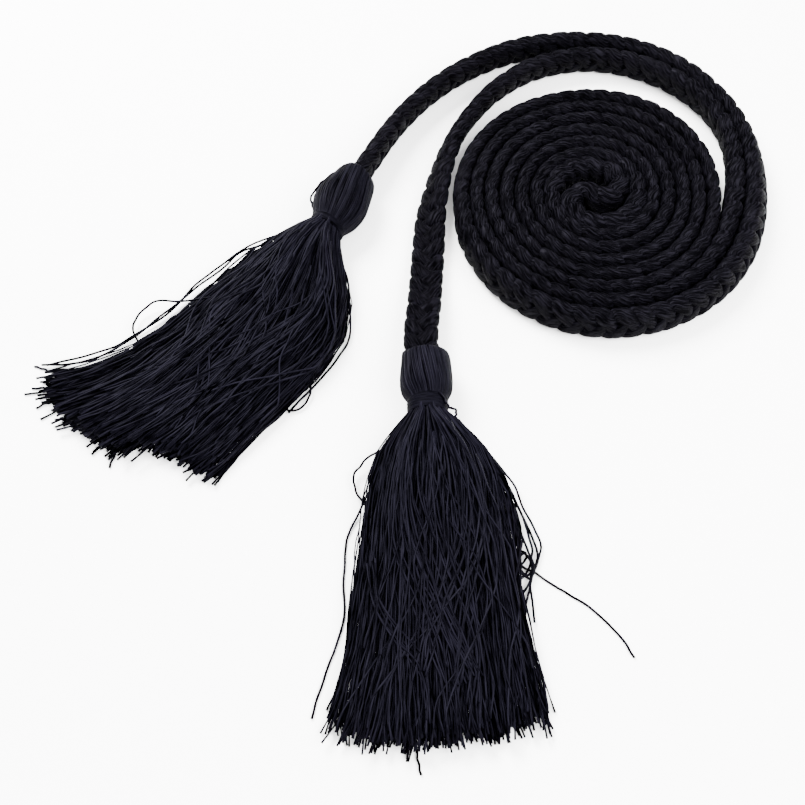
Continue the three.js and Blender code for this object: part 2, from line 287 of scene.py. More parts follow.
FOLD_STRETCH = 60  # mm to each side of the fold in which the rope bulges
FOLD_BULGE = 0.5  # how much thicker it is at the fold


def ease(share):
    """From 0 to 1 with a soft start and a soft end."""
    share = np.clip(share, 0, 1)
    return share * share * (3 - 2 * share)


def smooth_noise(step, columns):
    """Random numbers from -1 to 1 for each station, which change smoothly along the rope."""
    knots = int(rope_length / step) + 3
    values = rng.uniform(-1, 1, (knots, columns))
    at = np.arange(len(along)) * (knots - 2) / len(along)
    low = at.astype(int)
    share = ease(at - low)[:, None]
    return values[low] * (1 - share) + values[low + 1] * share


# %% The rope's own axes at each station, and how far the plait has come round
tangent = unit(np.gradient(middle, axis=0))
right = unit(np.cross(tangent, [0, 0, 1]))
rise = np.cross(right, tangent)
lean = np.radians(tilt)[:, None]
wide_axis = np.cos(lean) * right + np.sin(lean) * rise
thin_axis = np.cross(tangent, wide_axis)

flatness = np.clip((along - rope_length + FLAT_STRETCH) / (FLAT_STRETCH / 2), 0, 1)
period = PLAIT_PERIOD + (FLAT_PERIOD - PLAIT_PERIOD) * flatness
period *= 1 + UNEVEN_PERIOD * smooth_noise(PERIOD_STEP, 1)[:, 0] * (1 - flatness)
rounds = np.concatenate([[0], np.cumsum(np.diff(along) / period[1:])])
print("plait periods in the rope:", round(rounds[-1], 1))


# %% The outline of a strand as a share of the way round it
def outline_table(half_thickness, half_width):
    """Round a strand's outline: the ellipse's own angle, the true one, the share passed, and the length."""
    q = np.linspace(0, 2 * math.pi, OUTLINE_POINTS)
    x = half_thickness * squarer(np.cos(q), STRAND_POWER)
    y = half_width * squarer(np.sin(q), STRAND_POWER)
    step = np.hypot(np.diff(x), np.diff(y))
    share = np.concatenate([[0], np.cumsum(step)]) / step.sum()
    return q, np.unwrap(np.arctan2(y, x)), share, step.sum()


Q, OUTLINE_ANGLE, OUTLINE_SHARE, OUTLINE_LENGTH = outline_table(
    np.mean(STRAND_HALF_THICKNESS), np.mean(STRAND_HALF_WIDTH))
print("a strand is", round(OUTLINE_LENGTH, 1), "mm round")


# %% Press a strand into the rope's outline
fold = along[np.argmin(np.linalg.norm(middle[:, :2], axis=1))]
near_fold = np.clip(2 * (1 - abs(along - fold) / FOLD_STRETCH), 0, 1)
wound = np.clip((COIL_REACH - np.linalg.norm(middle[:, :2], axis=1)) / SWELL_EASE, 0, 1)
beside = on_side(middle, SWELL_SIDE, SWELL_SPAN)
bulge = 1 + FOLD_BULGE * ease(near_fold) + (TAIL_SWELL + SIDE_SWELL * beside) * (1 - wound)


def press(x, y):
    """Draws points of the rope's section in, so that none passes the rope's outline by much."""
    wide = abs(x) / (ROPE_WIDTH / 2)
    thin = abs(y) / (ROPE_THICKNESS / 2)
    reach = (wide ** OUTLINE_POWER + thin ** OUTLINE_POWER) ** (1 / OUTLINE_POWER)
    over = np.clip(reach - PRESS_FROM, 0, None)
    pressed = np.minimum(reach, PRESS_FROM) + PRESS_ROOM * (1 - np.exp(-over / PRESS_ROOM))
    share = SOFT_WIDTH * pressed / np.maximum(reach, 1e-6)
    return x * share, y * share * bulge[:, None]


# %% One strand of the plait
def strand_rings(start):
    """Points of a strand's outline at each station. The start is its place in the period."""
    wobble = PHASE_WOBBLE * smooth_noise(WOBBLE_STEP, 1)[:, 0]
    turn = 2 * math.pi * (rounds + start) + wobble
    swing = SWING * np.sin(turn)
    dive = -DIVE * (np.sin(2 * turn) + EDGE_EASE * np.sin(4 * turn))
    edge = np.abs(np.sin(turn))[:, None] ** 3     # 1 at the rope's edges and almost 0 on its faces
    facing = np.arctan2(dive / ROPE_THICKNESS ** 2, swing / ROPE_WIDTH ** 2)
    first = np.interp((-facing) % (2 * math.pi), OUTLINE_ANGLE, OUTLINE_SHARE)
    share = (first[:, None] + np.arange(STRAND_SIDES) / STRAND_SIDES) % 1
    q = np.interp(share, OUTLINE_SHARE, Q)
    thickness = STRAND_HALF_THICKNESS[0] * (1 - edge) + STRAND_HALF_THICKNESS[1] * edge
    width = STRAND_HALF_WIDTH[0] * (1 - edge) + STRAND_HALF_WIDTH[1] * edge
    relief = THREAD_WANDER * smooth_noise(WANDER_STEP, STRAND_SIDES)
    out = (thickness + relief) * squarer(np.cos(q), STRAND_POWER)
    aside = (width + relief) * squarer(np.sin(q), STRAND_POWER)
    cos, sin = np.cos(facing)[:, None], np.sin(facing)[:, None]
    x, y = press(swing[:, None] + out * cos - aside * sin, dive[:, None] + out * sin + aside * cos)
    rings = middle[:, None] + x[..., None] * wide_axis[:, None] + y[..., None] * thin_axis[:, None]
    rings[..., 2] = np.maximum(rings[..., 2], FLOOR_GAP)
    return rings


# %% [markdown]
# ## Tubes as meshes
# Strands and threads are all tubes along a way. A curve with a round bevel would give the loose
# threads, but not the strand's outline, so one function makes every tube from its rings. It gives
# each tube a UV map in millimetres, round it and along it, which the materials follow. Each tube
# has a place of its own in that map and a shade of its own, so no two threads look the same.

# %% Make one mesh of many tubes
UV_SPREAD = 400  # mm, over which the tubes' places in the map are scattered


def tube_mesh(name, rings, girth, shades=None):
    """One mesh of closed tubes. Rings are tube, station, side, xyz in mm; girth is mm round a tube."""
    tubes, stations, sides, _ = rings.shape
    index = np.arange(tubes * stations * sides).reshape(tubes, stations, sides)
    near, far = index[:, :-1], index[:, 1:]
    walls = np.stack([near, np.roll(near, -1, 2), np.roll(far, -1, 2), far], axis=-1).reshape(-1, 4)
    ends = np.concatenate([index[:, 0, ::-1], index[:, -1]])
    mesh = bpy.data.meshes.new(name)
    mesh.from_pydata((rings.reshape(-1, 3) * MM).tolist(), [], walls.tolist() + ends.tolist())
    mesh.shade_smooth()

    steps = np.linalg.norm(np.diff(rings.mean(axis=2), axis=1), axis=-1)
    run = np.concatenate([np.zeros((tubes, 1)), np.cumsum(steps, axis=1)], axis=1)
    u = np.arange(sides + 1) * girth / sides
    corner_u = np.stack([u[:-1], u[1:], u[1:], u[:-1]], axis=-1)
    corner_v = np.stack([run[:, :-1], run[:, :-1], run[:, 1:], run[:, 1:]], axis=-1)[:, :, None]
    corners = np.stack(np.broadcast_arrays(corner_u, corner_v), axis=-1)
    wall_uv = (corners + rng.uniform(0, UV_SPREAD, (tubes, 1, 1, 1, 2))).reshape(-1, 2)
    end_uv = np.zeros((2 * tubes * sides, 2))
    uv = mesh.uv_layers.new(name="thread_mm")
    uv.data.foreach_set("uv", np.concatenate([wall_uv, end_uv]).astype(np.float32).ravel())

    shade = mesh.attributes.new("shade", "FLOAT", "POINT")
    each = np.repeat(rng.random(tubes) if shades is None else shades, stations * sides)
    shade.data.foreach_set("value", each.astype(np.float32))

    piece = bpy.data.objects.new(name, mesh)
    bpy.context.scene.collection.objects.link(piece)
    print(name, "triangles:", sum(len(p.vertices) - 2 for p in mesh.polygons))
    return piece


strands = [tube_mesh(f"rope_strand_{i + 1}", strand_rings(i / 3)[None], OUTLINE_LENGTH, [0.5])
           for i in range(3)]
for strand in strands:
    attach(strand, "root")
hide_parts("rope_coil", "rope_tail_left", "rope_tail_front")

# %% [markdown]
# ## The tassels
# A tassel is a hank of thread laid over the rope's end, folded down all round it, tied at the neck,
# and cut at the far end. So it has four pieces: the threads that show on the head, the thread wound
# round the neck, the skirt of loose threads, and the mass of thread inside. Every tassel is laid out
# along its own axis first: X runs from the head's mouth to the cut ends, Y across, and Z up.

# %% The sizes of a tassel, as in the solid parts
HEAD_LENGTH = 13.2
NECK_DIAMETER = 9.2
BINDING_LENGTH = 4.6
SKIRT_START = HEAD_LENGTH + BINDING_LENGTH + 2 * CLEARANCE
SKIRT_LENGTH = 84
SKIRT_WIDTH = 52
SKIRT_DEPTH = 12
SKIRT_LANDING = 0.14
SKIRT_HEIGHTS = [[0, 0.87], [0.05, 1.0], [0.12, 1.02], [0.22, 0.95], [0.36, 0.82], [0.55, 0.7],
                 [0.78, 0.56], [1, 0.42]]
AXIS_HEIGHT = HEAD_DIAMETER / 2

# Settled: how far each place along the tassel has moved, in mm along and across, as it was laid
# down. Swell: how much wider the head has spread to its right and to its left. Flank: distance
# along the head as a share of its length, and how far out from the neck. Sides: share of the
# skirt's length, and its two sides as shares of its width. Ends: share across the skirt, and how
# long it is there as a share of its length. Loose: bunches of threads that hang outside a side:
# the side, how many, from and to which share of the length, and how many mm they stand off.
# Bundles: threads that cross the skirt's top side by side: how many, how far apart as a share of
# the width, and their way as shares of the length and the width.
tassels = {
    "left": {
        "mouth": left_mouth, "heading": LEFT_HEADING, "seat_aside": 0, "tilt": 92,
        "settled": [[0, 0.7, 0.1], [13, 3.6, 1.3], [18.4, 4.4, 1.8], [40, 1.2, 0.9], [62, 0, 0]],
        "swell": [0.26, 0.2],
        "flank": [[0.55, 1.0], [0.8, 1.0], [0.96, 0.88], [1.08, 0.6], [1.18, 0.25], [1.3, 0.0]],
        "sides": [[0, -0.1, 0.1], [0.05, -0.17, 0.16], [0.12, -0.24, 0.25], [0.22, -0.29, 0.37],
                  [0.36, -0.33, 0.47], [0.5, -0.37, 0.475], [0.64, -0.42, 0.435], [0.78, -0.51, 0.385],
                  [0.9, -0.65, 0.355], [1, -0.81, 0.33]],
        "ends": [[0, 0.94], [0.07, 0.98], [0.14, 1.03], [0.25, 1.055], [0.5, 1.075], [0.6, 1.025],
                 [0.72, 0.97], [0.82, 0.995], [1, 0.985]],
        "loose": [[0, 18, 0.02, 0.75, 2.9], [0, 12, 0.3, 1.0, 2.1], [1, 8, 0.3, 0.8, 1.4]],
        "bundles": [
            [9, 0.09, [[0, 0.66], [0.2, 0.78], [0.4, 0.74], [0.6, 0.64], [0.8, 0.58], [0.95, 0.56]]],
            [8, 0.08, [[0, 0.4], [0.2, 0.36], [0.4, 0.42], [0.6, 0.52], [0.78, 0.56], [0.92, 0.64]]],
            [7, 0.06, [[0.1, 0.3], [0.3, 0.2], [0.5, 0.22], [0.7, 0.32], [0.85, 0.36], [0.97, 0.34]]],
        ],
    },
    "front": {
        "mouth": front_mouth, "heading": FRONT_HEADING, "seat_aside": -1.3, "tilt": 180,
        "settled": [[0, 1.5, 0], [18.4, 1.9, -0.1], [40, 0.8, 0], [62, 0, 0]], "swell": [0.08, 0.02],
        "flank": [[0.55, 1.0], [0.76, 0.97], [0.9, 0.78], [0.99, 0.42], [1.06, 0.12], [1.3, 0.0]],
        "sides": [[0, -0.1, 0.1], [0.05, -0.185, 0.205], [0.12, -0.265, 0.305], [0.22, -0.31, 0.36],
                  [0.36, -0.35, 0.39], [0.55, -0.385, 0.415], [0.78, -0.43, 0.465], [1, -0.51, 0.53]],
        "ends": [[0, 0.93], [0.08, 0.965], [0.17, 0.985], [0.38, 1.01], [0.5, 1.0], [0.62, 0.97],
                 [0.72, 0.99], [0.85, 0.955], [1, 0.92]],
        "loose": [[1, 20, 0.08, 0.66, 4.4], [0, 8, 0.3, 0.98, 1.5], [1, 7, 0.5, 0.98, 1.2]],
        "bundles": [
            [13, 0.07, [[0, 0.35], [0.2, 0.26], [0.4, 0.3], [0.55, 0.4], [0.7, 0.52], [0.84, 0.62]]],
            [11, 0.08, [[0, 0.6], [0.15, 0.72], [0.35, 0.78], [0.5, 0.72], [0.65, 0.6], [0.85, 0.5]]],
            [7, 0.04, [[0.1, 0.5], [0.3, 0.46], [0.5, 0.56], [0.65, 0.66], [0.8, 0.7], [0.95, 0.66]]],
            [5, 0.03, [[0.5, 0.1], [0.62, 0.16], [0.72, 0.28], [0.8, 0.4], [0.88, 0.44], [0.96, 0.42]]],
        ],
    },
}


def place(tassel, points):
    """Points of a tassel's own axes, moved to where the tassel lies."""
    settled = np.array(tassel["settled"])
    moved = [np.interp(points[..., 0], settled[:, 0], settled[:, k]) for k in (1, 2)]
    points = points + np.stack([*moved, np.zeros_like(moved[0])], axis=-1)
    heading = tassel["heading"]
    origin = tassel["mouth"] - polar(tassel["seat_aside"], heading + 90)
    axis, across = polar(1, heading), polar(1, heading + 90)
    flat = origin[:2] + points[..., :1] * axis[:2] + points[..., 1:2] * across[:2]
    return np.concatenate([flat, points[..., 2:]], axis=-1)


# %% Round tubes along many ways
def round_rings(ways, radius, sides, across):
    """Rings round each way. The radius is one for all, one a way, or one a station of each way.

    Across is a direction that the ways don't follow."""
    forward = unit(np.gradient(ways, axis=1))
    side = unit(np.cross(forward, across))
    top = np.cross(forward, side)
    angle = 2 * math.pi * (np.arange(sides) + 0.5) / sides
    around = (np.cos(angle)[:, None] * side[:, :, None] + np.sin(angle)[:, None] * top[:, :, None])
    radius = np.atleast_2d(np.asarray(radius, float).T).T
    return ways[:, :, None] + radius[..., None, None] * around


def wander(count, stations, knots):
    """For each thread a smooth random line from -1 to 1, with this many bends."""
    values = rng.uniform(-1, 1, (count, knots + 1))
    at = np.linspace(0, knots - 1e-6, stations)
    low = at.astype(int)
    share = ease(at - low)
    return values[:, low] * (1 - share) + values[:, low + 1] * share


# %% [markdown]
# ## The head
# On the head the threads lie side by side: they come up between the rope and the shoulder, bend
# over it, and run down to the neck with a slight slant. Each follows the outline of the head, which
# is turned about the axis, at an angle of its own, and the outline starts on the rope itself, so
# that the mouth closes round the rope.

# %% The threads of the head
HEAD_THREADS = 90
HEAD_THREAD_RADIUS = 0.27  # mm
HEAD_SLANT = 20  # degrees round the head, from the shoulder to the neck
HEAD_STATIONS = 22
HEAD_UNEVEN = 0.15  # how far a thread starts from its even place, as a share of the gap
HEAD_SWAY = 0.02  # radians round the head
HEAD_RELIEF = 0.1  # mm in and out
SWELL_AT, SWELL_REACH = 0.7, 0.36  # where the head is widest, and how far that goes, as shares
EDGE_STEPS = 70  # at which the rope's edge is looked for
# Distance along the head as a share of its length, and how far out from the rope
SHOULDER = [[0.14, 0.0], [0.03, 0.08], [-0.02, 0.35], [0.01, 0.68], [0.08, 0.86], [0.26, 0.96]]


def rope_edge(angle, tilt, aside):
    """How far the rope's outline lies from the head's axis, at an angle round the axis."""
    lean = math.radians(tilt)
    reach = np.linspace(0, HEAD_DIAMETER / 2, EDGE_STEPS)
    y = reach[None] * np.cos(angle)[:, None] - aside
    z = reach[None] * np.sin(angle)[:, None]
    wide = (y * -math.cos(lean) + z * math.sin(lean)) / (ROPE_WIDTH / 2)
    thin = (y * math.sin(lean) + z * math.cos(lean)) / (ROPE_THICKNESS / 2)
    inside = abs(wide) ** OUTLINE_POWER + abs(thin) ** OUTLINE_POWER < 1
    return (inside * reach[None]).max(axis=1)


def head_outline(angle, tassel):
    """Distance along the head and radius at each station, for threads at these angles."""
    full = HEAD_DIAMETER / 2 - HEAD_THREAD_RADIUS
    neck = NECK_DIAMETER / 2 + HEAD_THREAD_RADIUS
    rope = rope_edge(angle, tassel["tilt"], tassel["seat_aside"])
    shoulder, flank = np.array(SHOULDER), np.array(tassel["flank"])
    x = np.concatenate([shoulder[:, 0], flank[:, 0]]) * HEAD_LENGTH
    near = rope[:, None] + shoulder[None, :, 1] * (full - rope[:, None])
    far = np.broadcast_to(neck + flank[:, 1] * (full - neck), (len(angle), len(flank)))
    rows = np.concatenate([near, far], axis=1)
    knots = np.linspace(0, 1, len(x))
    fine = np.linspace(0, 1, HEAD_STATIONS)
    along_head = np.interp(fine, knots, x)
    radius = np.array([np.interp(fine, knots, row) for row in rows])
    return along_head, radius


def head_ways(tassel):
    """Ways of the head's threads, and at each station the direction out of the head."""
    jitter = rng.uniform(-HEAD_UNEVEN, HEAD_UNEVEN, HEAD_THREADS)
    start = 2 * math.pi * (np.arange(HEAD_THREADS) + jitter) / HEAD_THREADS
    along_head, radius = head_outline(start, tassel)
    slant = math.radians(HEAD_SLANT) * along_head / HEAD_LENGTH
    angle = start[:, None] - slant + HEAD_SWAY * wander(HEAD_THREADS, HEAD_STATIONS, 5)
    radius = radius + HEAD_RELIEF * wander(HEAD_THREADS, HEAD_STATIONS, 4)
    y, z = radius * np.cos(angle), AXIS_HEIGHT + radius * np.sin(angle)
    widest = np.exp(-((along_head / HEAD_LENGTH - SWELL_AT) / SWELL_REACH) ** 2)
    y = y * (1 + np.where(y < 0, tassel["swell"][0], tassel["swell"][1]) * widest)
    x = np.broadcast_to(along_head, y.shape)
    across = np.stack([np.zeros_like(y), -np.sin(angle), np.cos(angle)], axis=-1)
    return np.stack([x, y, np.maximum(z, HEAD_THREAD_RADIUS)], axis=-1), across


# %% [markdown]
# ## The thread round the neck
# One thread is wound round the neck and hides where the head's threads become the skirt. It is a
# helix whose turns lie side by side, not quite evenly.

# %% The winding
WINDING_TURNS = 13
WINDING_RADIUS = 0.25
WINDING_UNEVEN = 0.12  # mm along the neck, and a little less out from it
WINDING_OUT = 0.4  # mm, from the solid ring's inside to the thread's middle
STATIONS_PER_TURN = 28


def winding_way():
    """The way of the thread round the neck, and a direction that it doesn't follow."""
    stations = WINDING_TURNS * STATIONS_PER_TURN
    turn = np.linspace(0, WINDING_TURNS, stations)
    angle = 2 * math.pi * turn - math.pi / 2
    uneven = WINDING_UNEVEN * wander(1, stations, 3 * WINDING_TURNS)[0]
    first = HEAD_LENGTH + CLEARANCE + WINDING_RADIUS
    x = first + turn / WINDING_TURNS * (BINDING_LENGTH - 2 * WINDING_RADIUS)
    radius = NECK_DIAMETER / 2 + CLEARANCE + WINDING_OUT + 0.8 * uneven
    y, z = radius * np.cos(angle), AXIS_HEIGHT + radius * np.sin(angle)
    return np.stack([x + uneven, y, z], axis=-1)[None], np.array([1.0, 0, 0])


# %% [markdown]
# ## The skirt
# The skirt is several hundred single threads. Particle hair could comb them, but it is slow to
# export, so each thread is a line worked out from two numbers: its share across the skirt, between
# the two sides in the table, and its share of the height. Threads that start together stay together
# as locks, each thread wanders a little, and a few cross over the rest.

# %% The threads of the skirt
SKIRT_THREADS = 940
SKIRT_THREAD_RADIUS = 0.215  # mm
SKIRT_STATIONS = 24
SKIRT_SIDES = 4
EDGE_DEPTH = 0.3  # the skirt's height at its sides, as a share of its middle's
UNDER_BINDING = 0.055  # share of the skirt's length that is hidden in the neck
THIN_SIDES = 0.5  # 0 spreads the threads evenly, 1 leaves few at the sides
LOOSE_BY = 0.3  # share of the length by which the threads are free of the neck
LOCKS = 30
LOCK_BANDS = 6  # layers of locks, one on another
LOCK_COUNT = (LOCKS + 2) * LOCK_BANDS
BAND_SHIFT = 0.37  # how far a layer's locks lie beside the last one's, as a share of one
LOCK_PULL = 0.62  # how far a thread is drawn to the middle of its lock
LOCK_WANDER = 0.036  # share of the width
LOCK_RISE = 0.25  # share by which a lock rises and sinks
THREAD_WAVE = 0.85  # mm across
THREAD_RISE = 0.5  # mm up and down
DRIFT = 0.045  # share of the width that a thread moves across, mouth to end
CROSSING = 0.055  # share of threads that cross many others
CROSSING_DRIFT = 0.17
SKIRT_EDGE = 0.02  # share of the width at each side, past which threads are held back
TIP_STRETCH = 0.1  # share of the length in which a cut end bends aside
TIP_BEND = (0.6, 0.9)  # mm, thread by thread and lock by lock
TIP_RISE = (-0.3, 0.6)  # mm, on average and how unevenly
TIP_FLARE = 1.6  # how much thicker a frayed end is
RAGGED = (0.010, 0.016)  # share of the length, thread by thread and lock by lock
SHADES = (-0.15, 0.8)  # painted shade: tone of the threads at the bottom, darker under the rest, and at the top
UNEVEN_SHADES = (0.2, 0.18)  # thread by thread and lock by lock


def skirt_section(tassel, share, u):
    """Y, the lowest Z and the height of the skirt, at a share of its length and across it."""
    sides, heights = np.array(tassel["sides"]), np.array(SKIRT_HEIGHTS)
    at = np.clip(share, 0, 1)
    first = np.interp(at, sides[:, 0], sides[:, 1])
    last = np.interp(at, sides[:, 0], sides[:, 2])
    deep = np.interp(at, heights[:, 0], heights[:, 1]) * SKIRT_DEPTH
    y = (first + (last - first) * u) * SKIRT_WIDTH
    bow = np.sqrt(np.clip(1 - (2 * u - 1) ** 2, 0, 1))
    edge = EDGE_DEPTH * ease(at / SKIRT_LANDING)
    height = deep * (edge + (1 - edge) * bow)
    low = AXIS_HEIGHT - height / 2
    return y, low * (1 - ease(at / SKIRT_LANDING)), height


# %% Which lock a thread belongs to
def sort_into_locks(u, layer):
    """For each thread the number of its lock, and where the middle of that lock starts across."""
    band = (layer * LOCK_BANDS).astype(int)
    shift = band * BAND_SHIFT
    lock = np.clip(np.floor(u * LOCKS + shift), 0, LOCKS + 1).astype(int)
    return lock * LOCK_BANDS + band, (lock + 0.5 - shift) / LOCKS


def uneven(spread, lock):
    """A random number for each thread, a part of which the threads of one lock share."""
    return rng.normal(0, spread[0], len(lock)) + rng.normal(0, spread[1], LOCK_COUNT)[lock]


def hold_back(across):
    """Draws threads that have left the skirt back to its sides."""
    near, far = SKIRT_EDGE, 1 - SKIRT_EDGE
    across = np.where(across < near, near + 0.1 * (across - near), across)
    return np.where(across > far, far + 0.1 * (across - far), across)


# %% Lay the threads of a skirt
def skirt_ways(tassel, count):
    """Ways of the skirt's threads, and how light each one is: painted darker the lower it lies, as shade
    under the threads above, and uneven from thread to thread and lock to lock.
    """
    share = np.linspace(-UNDER_BINDING, 1, SKIRT_STATIONS)[None]
    u = (np.arange(count) + rng.random(count)) / count
    u = (1 - THIN_SIDES) * u + THIN_SIDES * np.arccos(1 - 2 * u) / math.pi
    layer = rng.permutation(np.arange(count) + rng.random(count)) / count
    lock, lock_middle = sort_into_locks(u, layer)
    loose = ease(share / LOOSE_BY)

    # Across the skirt: into the locks, aside with them, and then every thread on its own
    across = u[:, None] + (lock_middle - u)[:, None] * LOCK_PULL * ease((share - 0.05) / 0.4)
    across = across + loose * LOCK_WANDER * wander(LOCK_COUNT, SKIRT_STATIONS, 3)[lock]
    drift = np.where(rng.random(count) < CROSSING, CROSSING_DRIFT, DRIFT)
    across = across + (rng.normal(0, 1, count) * drift)[:, None] * ease(share * 1.1)
    y, low, height = skirt_section(tassel, share, hold_back(across))
    waves = wander(count, SKIRT_STATIONS, 4) + 0.5 * wander(count, SKIRT_STATIONS, 12)
    y = y + loose * THREAD_WAVE * waves

    # Up and down, and the bend of the cut ends
    rise = layer[:, None] * (1 + LOCK_RISE * loose * wander(LOCK_COUNT, SKIRT_STATIONS, 3)[lock])
    z = low + height * rise + loose * THREAD_RISE * wander(count, SKIRT_STATIONS, 6)
    tip = np.clip((share - 1 + TIP_STRETCH) / TIP_STRETCH, 0, 1) ** 2
    y = y + tip * uneven(TIP_BEND, lock)[:, None]
    z = z + tip * rng.normal(*TIP_RISE, (count, 1))
    z = np.maximum(z, TIP_FLARE * SKIRT_THREAD_RADIUS)

    # Along the skirt, to the ragged end
    ends = np.array(tassel["ends"])
    length = SKIRT_LENGTH * (np.interp(u, ends[:, 0], ends[:, 1]) + uneven(RAGGED, lock))
    x = SKIRT_START + np.where(share < 0, SKIRT_LENGTH, length[:, None]) * share
    # Painted shade: threads lower in the skirt are darker, for the shade under those over them; the uneven
    # part is the threads' own tone.
    shades = SHADES[0] + (SHADES[1] - SHADES[0]) * layer ** 2 + uneven(UNEVEN_SHADES, lock)
    return np.stack([x, y, z], axis=-1), np.clip(shades, 0, 1)


# %% [markdown]
# Some threads have come loose. No rule gives the loops at the sides, the curl and the long ends that
# lie on the floor, so each is a short list of points, from the neck outwards. The arcs and bundles
# across the top and the bunches at the sides are many and alike, so three functions lay them.

# %% The stray threads, in millimetres along and across the tassel and above the floor
STRAYS = {
    "left": [
        [[57, -14, 6], [60, -18, 5], [63, -23, 4], [66, -29, 3], [71, -31, 2], [75, -30, 2],
         [78, -27, 2], [80, -22, 3], [81, -16, 4]],
        [[20, -5, 7], [25, -11, 4], [30, -14, 3], [35, -17, 3], [41, -19, 3], [46, -20, 2],
         [54, -22, 2], [60, -23, 2], [64, -24, 2], [72, -26, 2], [79, -28, 2], [85, -31, 1],
         [90, -34, 1], [94, -39, 1], [98, -45, 1]],
        [[20, -4, 8], [27, -12, 5], [36, -17.5, 4], [45, -20.5, 3], [55, -23, 2], [66, -24.5, 1],
         [76, -28, 1], [84, -32, 1], [91, -38, 1], [97, -44, 1]],
        [[50, 8, 9], [56, 17, 5], [60, 21, 4], [66, 24, 2], [71, 25.5, 1], [75, 23, 1], [74, 19, 3]],
        [[20, 4, 9], [25, 9.5, 6], [30, 14.5, 4], [36, 18.2, 3], [42, 22, 2], [48, 24.8, 1], [55, 25.4, 1],
         [61, 25, 1], [68, 24, 1], [76, 23, 1]],
        [[0, -4, 10], [2.5, -6.6, 8.5], [5.5, -8.6, 7.5], [8.5, -9.6, 7], [11.5, -9, 7], [14, -6.5, 7]],
        [[0.5, -4.5, 9.5], [3.5, -7.4, 8], [6.5, -8.9, 7], [9.5, -8.8, 7], [12.5, -6.5, 7]],
        [[90, -14, 3], [102, -13, 1], [106, -12, 0.4], [109, -11, 0.3], [113, -10, 0.3]],
        [[84, -24, 2], [92, -33, 1], [95, -38, 0.5], [98, -43, 0.3], [99, -47, 0.3]],
        [[90, -26, 2], [98, -34, 1], [101, -38, 0.5], [105, -43, 0.3]],
        [[88, -20, 2], [100, -31, 1], [105, -36, 0.5], [109, -38, 0.3]],
    ],
    "front": [
        [[40, 14, 5], [53, 19.5, 2], [59, 22, 0.6], [62, 26, 0.4], [65, 30, 0.3], [68, 35, 0.3],
         [74, 42, 0.3], [80, 47, 0.3], [84, 49, 0.3]],
        [[20, 7, 9], [26, 13, 6], [32, 18, 4], [38, 22, 3], [44, 24, 2], [50, 27, 1], [56, 28, 1],
         [61, 26, 1], [65, 24, 1], [69, 22, 2], [76, 20, 2]],
        [[20, 8, 8], [29, 14.5, 5], [37, 19, 4], [43, 22, 3], [50, 24.5, 2], [56, 25.5, 1.5], [61, 24.5, 1],
         [65, 21, 2], [69, 17, 3]],
        [[20, 6, 10], [26, 12, 7], [34, 17, 5], [40, 20, 4], [47, 22.5, 3], [51, 23, 2], [56, 24.5, 2],
         [61, 25.5, 2], [66, 24.5, 1], [71, 23, 1], [79, 23, 1], [88, 25, 1]],
        [[20, 7, 9], [28, 14, 6], [36, 19.5, 4], [44, 23, 2], [52, 26, 1], [58, 27, 1], [63, 24, 1],
         [60, 22, 2], [57, 23.5, 2], [60, 25.5, 1.5], [66, 24.5, 1], [75, 25, 1]],
        [[55, 17, 4], [57, 19, 3], [59, 21, 2.5], [60, 23, 2], [58, 24, 2], [56.5, 23, 2], [58, 21.5, 2],
         [61, 22, 2], [64, 24.5, 1]],
        [[30, -11, 7], [36, -14, 5], [40, -16.5, 3], [45, -19, 1], [50, -21, 0.5], [54, -22, 0.4],
         [59, -22.5, 0.4], [66, -22.5, 0.4], [72, -22.5, 0.4], [80, -24.5, 0.4], [86, -26.5, 0.3],
         [91, -28, 0.3], [97, -30, 0.3]],
        [[22, -7, 9], [27, -11, 6], [28, -14, 4], [30, -17, 3], [33, -19.5, 2], [36, -20, 2],
         [39, -19.5, 2], [43, -17, 3], [48, -15, 4]],
        [[88, -9, 3], [96, -8, 1.5], [101, -6, 0.6], [105, -5, 0.3], [110, -4, 0.3]],
        [[14, 3, 12], [16, 4.6, 10.5], [17.4, 5.8, 9.5], [17.6, 7.1, 9], [18.6, 7.6, 8.5],
         [20.5, 6.8, 9], [23, 8.5, 8]],
    ],
}
STRAY_STATIONS = 56
STRAY_RADIUS = 0.34  # mm
LOOSE_RADIUS = 0.85 * STRAY_RADIUS
LOOSE_WAVE = 0.55  # mm
KEPT_IN = 0.8  # mm by which a loose thread's two ends lie inside the skirt's side
LISTED_WAVE = 0.25  # mm
ARC_RADIUS = 0.26
ARCS = 22  # threads in arcs across the top of each skirt
ARC_START = (-0.02, 0.25)  # share of the length
ARC_STOP = (0.75, 1.0)
ARC_MIDDLE = (0.2, 0.8)  # share of the width
ARC_SWAY = 0.26
TOP_EDGE = 0.03  # share of the width at each side that arcs and bundles keep off


def through(points, stations):
    """A smooth curve through a few points."""
    points = [np.array(p, float) for p in points]
    return np.array([smooth_between(points, t) for t in np.linspace(0, 1, stations)])


def on_skirt(tassel, share, u, lift):
    """Ways on the skirt. The lift is a share of its height, or an array of them."""
    y, low, height = skirt_section(tassel, share, np.clip(u, TOP_EDGE, 1 - TOP_EDGE))
    return np.stack([SKIRT_START + SKIRT_LENGTH * share, y, low + height * lift], axis=-1)


def arc_ways(tassel):
    """Threads that lie on the skirt, each drawn across it in a slow S or a bow."""
    start = rng.uniform(*ARC_START, (ARCS, 1))
    share = start + (rng.uniform(*ARC_STOP, (ARCS, 1)) - start) * np.linspace(0, 1, STRAY_STATIONS)
    u = rng.uniform(*ARC_MIDDLE, (ARCS, 1)) + ARC_SWAY * wander(ARCS, STRAY_STATIONS, 2) * ease(share * 2)
    u = u + 0.012 * wander(ARCS, STRAY_STATIONS, 9)
    return on_skirt(tassel, share, u, 1.1 + 0.05 * wander(ARCS, STRAY_STATIONS, 4))


